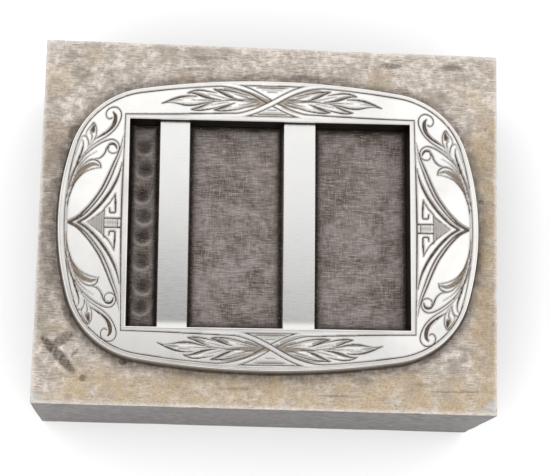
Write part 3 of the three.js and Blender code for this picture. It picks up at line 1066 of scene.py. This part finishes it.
def cross_bar(node, low, high, material):
    middle = (low + high) / 2
    end = WINDOW_HALF[1] + BAR_BITE
    y = np.linspace(-1, 1, BAR_ROWS)
    y = end * np.sign(y) * np.abs(y) ** 0.8
    top = FACE_Z - BAR_DROP - BAR_CROWN[node] * ((y - BAR_PEAK) / (end + BAR_PEAK)) ** 2
    ramp = np.clip((-y - (WINDOW_HALF[1] - BAR_RAMP)) / BAR_RAMP, 0, 1)
    top = top + BAR_RISE * ramp**2
    profile = bar_profile(low, high)
    points, faces = [], []
    for row_y, row_top in zip(y, top):
        foot = (row_top - FLOOR_Z) * WELL_SLOPE
        line = [(low - foot, FLOOR_Z)]
        for x, drop in profile:
            draft = drop * WELL_SLOPE if drop > 0.3 else 0.0
            line.append((x + math.copysign(draft, x - middle), row_top - drop))
        line.append((high + foot, FLOOR_Z))
        points += [(*to_row(x, row_y), z) for x, z in line]
    width = len(profile) + 2
    for i in range(BAR_ROWS - 1):
        for j in range(width):
            a, b = i * width + j, i * width + (j + 1) % width
            faces.append((a, b, b + width, a + width))
    faces.append(tuple(range(width))[::-1])
    faces.append(tuple(range((BAR_ROWS - 1) * width, BAR_ROWS * width)))
    add_piece("satin_" + node, points, faces, material, node)


# ------------------------------------------------------------------ materials


class Paint:
    """A small helper that builds one node material."""

    def __init__(self, name):
        self.material = bpy.data.materials.new(name)
        self.material.use_nodes = True
        self.tree = self.material.node_tree
        self.shader = self.tree.nodes["Principled BSDF"]
        place = self.node("ShaderNodeTexCoord").outputs["Object"]
        self.place = self.node("ShaderNodeMapping", {"Vector": place, "Scale": (1 / MM,) * 3}).outputs[0]

    def node(self, kind, inputs=None, **settings):
        made = self.tree.nodes.new(kind)
        for name, value in settings.items():
            setattr(made, name, value)
        for name, value in (inputs or {}).items():
            if isinstance(value, bpy.types.NodeSocket):
                self.tree.links.new(value, made.inputs[name])
            else:
                made.inputs[name].default_value = value
        return made

    def mask(self, name):
        return self.node("ShaderNodeAttribute", attribute_name=name).outputs["Fac"]

    def noise(self, scale, detail=4.0, stretch=(1, 1, 1), turn=0.0, rough=0.55):
        """Noise with about `scale` features a millimetre, stretched along an axis."""
        at = self.node("ShaderNodeMapping", {
            "Vector": self.place, "Rotation": (0, 0, math.radians(turn)), "Scale": stretch})
        made = self.node("ShaderNodeTexNoise", {
            "Vector": at.outputs[0], "Scale": scale, "Detail": detail, "Roughness": rough})
        return made.outputs["Fac"]

    def level(self, value, low, high, out_low=0.0, out_high=1.0):
        made = self.node("ShaderNodeMapRange", {
            "Value": value, "From Min": low, "From Max": high, "To Min": out_low, "To Max": out_high})
        return made.outputs[0]

    def times(self, a, b):
        return self.node("ShaderNodeMath", {0: a, 1: b}, operation="MULTIPLY").outputs[0]

    def most(self, a, b):
        return self.node("ShaderNodeMath", {0: a, 1: b}, operation="MAXIMUM").outputs[0]

    def plus(self, a, b):
        return self.node("ShaderNodeMath", {0: a, 1: b}, operation="ADD").outputs[0]

    def mix(self, share, first, second):
        made = self.node("ShaderNodeMix", {"Factor": share}, data_type="RGBA")
        for index, value in ((6, first), (7, second)):
            if isinstance(value, bpy.types.NodeSocket):
                self.tree.links.new(value, made.inputs[index])
            else:
                made.inputs[index].default_value = (*value, 1)
        return made.outputs[2]

    def over(self, base, value, low, high, colour, most=1.0):
        """Lays a colour over `base` where a value rises from low to high."""
        return self.mix(self.level(value, low, high, 0.0, most), base, colour)

    def bump(self, height, strength, distance=0.05):
        made = self.node("ShaderNodeBump", {
            "Height": height, "Strength": strength, "Distance": distance * MM})
        return made.outputs[0]

    def finish(self, **sockets):
        for name, value in sockets.items():
            socket = self.shader.inputs[name.replace("_", " ")]
            if isinstance(value, bpy.types.NodeSocket):
                self.tree.links.new(value, socket)
            else:
                socket.default_value = value
        return self.material


BRIGHT = (0.91, 0.895, 0.87)
CLOUDY = (0.79, 0.785, 0.77)
PATINA = (0.075, 0.054, 0.04)
PATINA_LIGHT = (0.18, 0.14, 0.108)
SHADING_BROWN = (0.22, 0.165, 0.115)
# near black of the painted shade on the window wall
WALL_SHADE_BLACK = (0.02, 0.015, 0.012)


def polished_steel():
    p = Paint("polished_steel")
    clouds = p.level(p.noise(0.12, 3), 0.4, 0.68)
    bright = p.mix(clouds, BRIGHT, CLOUDY)
    shade = p.times(p.mask("shade"), p.level(p.noise(3.0, 3), 0.3, 0.6, 0.8, 1.0))
    # brown of the engraved shading, and of the painted shade by the crossing, on the rim and on the
    # ledge
    filled = p.mix(shade, bright, SHADING_BROWN)
    dark = p.mix(p.level(p.noise(2.2, 4), 0.42, 0.7), PATINA, PATINA_LIGHT)
    patina_and_wall_shade = p.mask("patina_and_wall_shade")
    # the cuts' dark brown, and painted shade on the frame's walls, share this mask
    colour = p.mix(patina_and_wall_shade, filled, dark)
    # painted shade: where the mask passes 1, on the window wall, the colour turns near black
    colour = p.mix(p.level(patina_and_wall_shade, 1.0, 1.6), colour, WALL_SHADE_BLACK)
    scratches = p.noise(4.0, 5, (0.25, 1.6, 1), 12)
    rough = p.plus(p.level(patina_and_wall_shade, 0, 1, 0.13, 0.55), p.times(shade, 0.22))
    return p.finish(
        Base_Color=colour,
        Metallic=p.most(p.level(patina_and_wall_shade, 0, 1, 1.0, 0.35), p.level(patina_and_wall_shade, 1.0, 1.6)),
        Roughness=rough,
        Normal=p.bump(scratches, 0.05, 0.02),
    )


def satin_steel():
    p = Paint("satin_steel")
    brush = p.noise(5.0, 5, (0.1, 2.2, 1), 0)
    tone = p.level(brush, 0.3, 0.7)
    colour = p.mix(tone, (0.77, 0.765, 0.75), (0.83, 0.825, 0.81))
    colour = p.over(colour, p.noise(0.25, 3), 0.45, 0.7, (0.84, 0.83, 0.8), 0.5)
    return p.finish(
        Base_Color=colour,
        Metallic=1.0,
        Roughness=p.level(brush, 0.3, 0.7, 0.22, 0.3),
        Normal=p.bump(brush, 0.05, 0.02),
    )


def ground_tone(p, files, cross, grain, cloud):
    """The filed ground, its stains, its worn edges, painted shade round the frame's foot and over its
    left end, and the block's sides.
    """
    back = p.noise(4.2, 7, (0.13, 1.5, 0.3), -44)
    upright = p.noise(3.4, 6, (1.7, 0.13, 1), 0)
    blotch = p.noise(0.24, 7, rough=0.6)
    wide = p.noise(0.5, 6, (0.5, 1.4, 1), 4, 0.6)
    ends = p.mask("ends")
    crossed = p.times(cross, p.times(ends, 0.8))
    strokes = p.plus(p.times(files, p.level(ends, 0, 1, 1.0, 0.2)), crossed)
    tone = p.mix(p.level(strokes, 0.36, 0.64), (0.3, 0.25, 0.21), (0.72, 0.65, 0.575))
    for value, low, high, colour, most in (
        (cloud, 0.46, 0.62, (0.84, 0.77, 0.7), 0.85),
        (cross, 0.55, 0.67, (0.85, 0.78, 0.71), 0.6),
        (back, 0.55, 0.67, (0.31, 0.255, 0.21), 0.6),
        (blotch, 0.5, 0.62, (0.35, 0.3, 0.25), 0.65),
        (wide, 0.54, 0.66, (0.33, 0.28, 0.235), 0.6),
        (grain, 0.54, 0.68, (0.2, 0.16, 0.128), 0.6),
    ):
        tone = p.over(tone, value, low, high, colour, most)

    patches = p.level(p.noise(1.0, 7, (0.6, 1.3, 1), 0, 0.65), 0.3, 0.56, 0.4, 1)
    golden = p.mix(p.level(grain, 0.42, 0.66), (0.6, 0.475, 0.315), (0.36, 0.255, 0.145))
    tone = p.mix(p.times(p.times(p.mask("stain"), patches), 0.9), tone, golden)
    filed = p.mix(p.level(cross, 0.4, 0.6), (0.4, 0.385, 0.36), (0.62, 0.6, 0.56))
    tone = p.mix(p.mask("facet"), tone, filed)
    # painted shade in the dip round the frame's foot, with a ragged edge
    ragged = p.plus(p.noise(0.7, 6), p.times(upright, 0.8))
    moat = p.times(p.mask("moat"), p.level(ragged, 0.7, 1.05, 0.25, 1.0))
    tone = p.mix(p.times(moat, 0.85), tone, (0.155, 0.13, 0.118))
    # smudges, the black line along the frame's foot and the painted shade at the left end
    notches = p.level(p.plus(cross, p.times(back, 0.4)), 0.55, 0.85, 1.0, 0.75)
    tone = p.mix(p.times(p.mask("dark"), notches), tone, (0.065, 0.05, 0.04))

    along = p.noise(1.6, 6, (0.1, 0.1, 1.8))
    side = p.mix(p.level(along, 0.32, 0.68), (0.05, 0.043, 0.042), (0.16, 0.141, 0.138))
    tone = p.mix(p.mask("side"), tone, side)
    tone = p.mix(p.times(p.mask("side"), p.mask("dark")), tone, (0.04, 0.032, 0.028))
    worn = p.times(p.mask("worn"), p.level(grain, 0.35, 0.6, 0.9, 0.3))
    return p.mix(worn, tone, (0.86, 0.8, 0.75))


def well_tone(p, weave, painted_well_shade, grain, cloud):
    """The pocket's floor: tool marks two ways across, dark patches, painted highlights on the dimples'
    rims, painted shade along the walls and in the dimples, and specks.
    """
    weft = p.noise(5.2, 6, (2.0, 0.1, 1), 1)
    slant = p.noise(3.0, 5, (0.14, 1.9, 1), 40)
    gouges = p.noise(5.2, 6, (0.1, 2.0, 1), -2)
    tone = p.mix(p.level(p.noise(0.22, 6), 0.4, 0.6), (0.07, 0.05, 0.037), (0.225, 0.192, 0.18))
    for value, low, high, colour, most in (
        (weave, 0.46, 0.66, (0.42, 0.365, 0.34), 0.8),
        (weft, 0.5, 0.68, (0.45, 0.39, 0.36), 0.65),
        (gouges, 0.5, 0.68, (0.045, 0.035, 0.03), 0.75),
        (slant, 0.54, 0.7, (0.07, 0.055, 0.045), 0.5),
        (cloud, 0.52, 0.68, (0.075, 0.055, 0.042), 0.7),
        (grain, 0.58, 0.68, (0.5, 0.44, 0.4), 0.7),
    ):
        tone = p.over(tone, value, low, high, colour, most)
    lit_rims = p.times(p.mask("rim"), p.level(grain, 0.4, 0.6, 0.9, 0.2))
    tone = p.mix(lit_rims, tone, (0.55, 0.48, 0.42))
    # painted shade, near black, along the walls and in the dimples
    tone = p.mix(p.times(painted_well_shade, 0.97), tone, (0.017, 0.012, 0.009))
    specks = p.times(p.level(p.noise(6.0, 2), 0.69, 0.72), p.level(painted_well_shade, 0.15, 0.5, 0, 0.9))
    return p.mix(specks, tone, (0.6, 0.55, 0.5))


def block_steel():
    p = Paint("block_steel")
    files = p.noise(4.0, 7, (0.16, 1.5, 0.16), 2)
    cross = p.noise(4.2, 7, (0.13, 1.5, 0.3), 52)
    cloud = p.noise(0.8, 7, rough=0.68)
    grain = p.noise(3.0, 8, rough=0.75)
    weave = p.noise(5.2, 6, (0.1, 2.0, 1), 1)
    # painted shade along the well's walls, in the dimples and over the narrow well
    painted_well_shade = p.times(p.mask("wall"), p.level(weave, 0.4, 0.7, 1.1, 0.85))
    well = p.mask("well")
    ground = ground_tone(p, files, cross, grain, cloud)
    height = p.plus(p.times(files, 0.7), p.plus(p.times(cross, 0.5), p.times(grain, 0.5)))
    return p.finish(
        Base_Color=p.mix(well, ground, well_tone(p, weave, painted_well_shade, grain, cloud)),
        Metallic=p.most(p.level(well, 0, 1, 0.75, 0.4), p.level(painted_well_shade, 0.3, 0.9)),
        Roughness=p.level(files, 0.3, 0.7, 0.38, 0.56),
        Normal=p.bump(height, 0.6, 0.12),
    )


def floor_white():
    p = Paint("floor_white")
    return p.finish(Base_Color=(0.97, 0.97, 0.97, 1), Roughness=0.9)


# ------------------------------------------------------------------ the picture

CAMERA_PLACE = (-17.23, -61.74, 334.84)
CAMERA_TURN = (11.098, -3.705, 1.221)
LENS = 116.48
TENT_LIGHT = 1.16
OPENING_LIGHT = 0.2
OPENING_INNER = 10.0
OPENING_OUTER = 25.0
FILL_POWER = 4.0
FILL_PLACE = (-200, -300, 900)
FILL_SIZE = 900


def add_camera():
    data = bpy.data.cameras.new("camera")
    data.lens = LENS
    data.sensor_width = 36
    data.clip_start = 0.01
    data.clip_end = 20
    camera = bpy.data.objects.new("camera", data)
    camera.location = Vector(CAMERA_PLACE) * MM
    camera.rotation_euler = [math.radians(angle) for angle in CAMERA_TURN]
    bpy.context.scene.collection.objects.link(camera)
    bpy.context.scene.camera = camera


def add_floor():
    bpy.ops.mesh.primitive_plane_add(size=6, location=(0, 0, BASE_Z * MM))
    floor = bpy.context.object
    floor.name = "floor"
    floor.data.materials.append(floor_white())


def add_fill():
    """A wide soft light over the camera's shoulder, not mirrored by the steel."""
    data = bpy.data.lights.new("fill", "AREA")
    data.shape = "RECTANGLE"
    data.size = data.size_y = FILL_SIZE * MM
    data.energy = FILL_POWER
    light = bpy.data.objects.new("fill", data)
    light.location = Vector(FILL_PLACE) * MM
    light.rotation_euler = (-light.location).to_track_quat("-Z", "Y").to_euler()
    light.visible_glossy = False
    bpy.context.scene.collection.objects.link(light)


def add_world():
    """A white tent with a dimmer opening for the camera."""
    world = bpy.data.worlds.new("studio")
    bpy.context.scene.world = world
    world.use_nodes = True
    tree = world.node_tree
    aim = Vector(CAMERA_PLACE) - Vector((0, 0, FACE_Z))
    aim.normalize()
    place = tree.nodes.new("ShaderNodeTexCoord")
    facing = tree.nodes.new("ShaderNodeVectorMath")
    facing.operation = "DOT_PRODUCT"
    facing.inputs[1].default_value = aim
    tree.links.new(place.outputs["Generated"], facing.inputs[0])
    fade = tree.nodes.new("ShaderNodeMapRange")
    fade.interpolation_type = "SMOOTHSTEP"
    fade.inputs["From Min"].default_value = math.cos(math.radians(OPENING_OUTER))
    fade.inputs["From Max"].default_value = math.cos(math.radians(OPENING_INNER))
    fade.inputs["To Min"].default_value = TENT_LIGHT
    fade.inputs["To Max"].default_value = OPENING_LIGHT
    tree.links.new(facing.outputs["Value"], fade.inputs["Value"])
    background = tree.nodes["Background"]
    background.inputs["Color"].default_value = (1, 1, 1, 1)
    tree.links.new(fade.outputs[0], background.inputs["Strength"])


def add_light():
    add_world()
    add_fill()
    view = bpy.context.scene.view_settings
    view.view_transform = "Standard"
    view.look = "None"


polished, satin, filed = polished_steel(), satin_steel(), block_steel()
buckle_frame(polished)
die_block(filed)
for bar, (bar_low, bar_high) in BARS.items():
    cross_bar(bar, bar_low, bar_high, satin)
add_floor()
add_camera()
add_light()
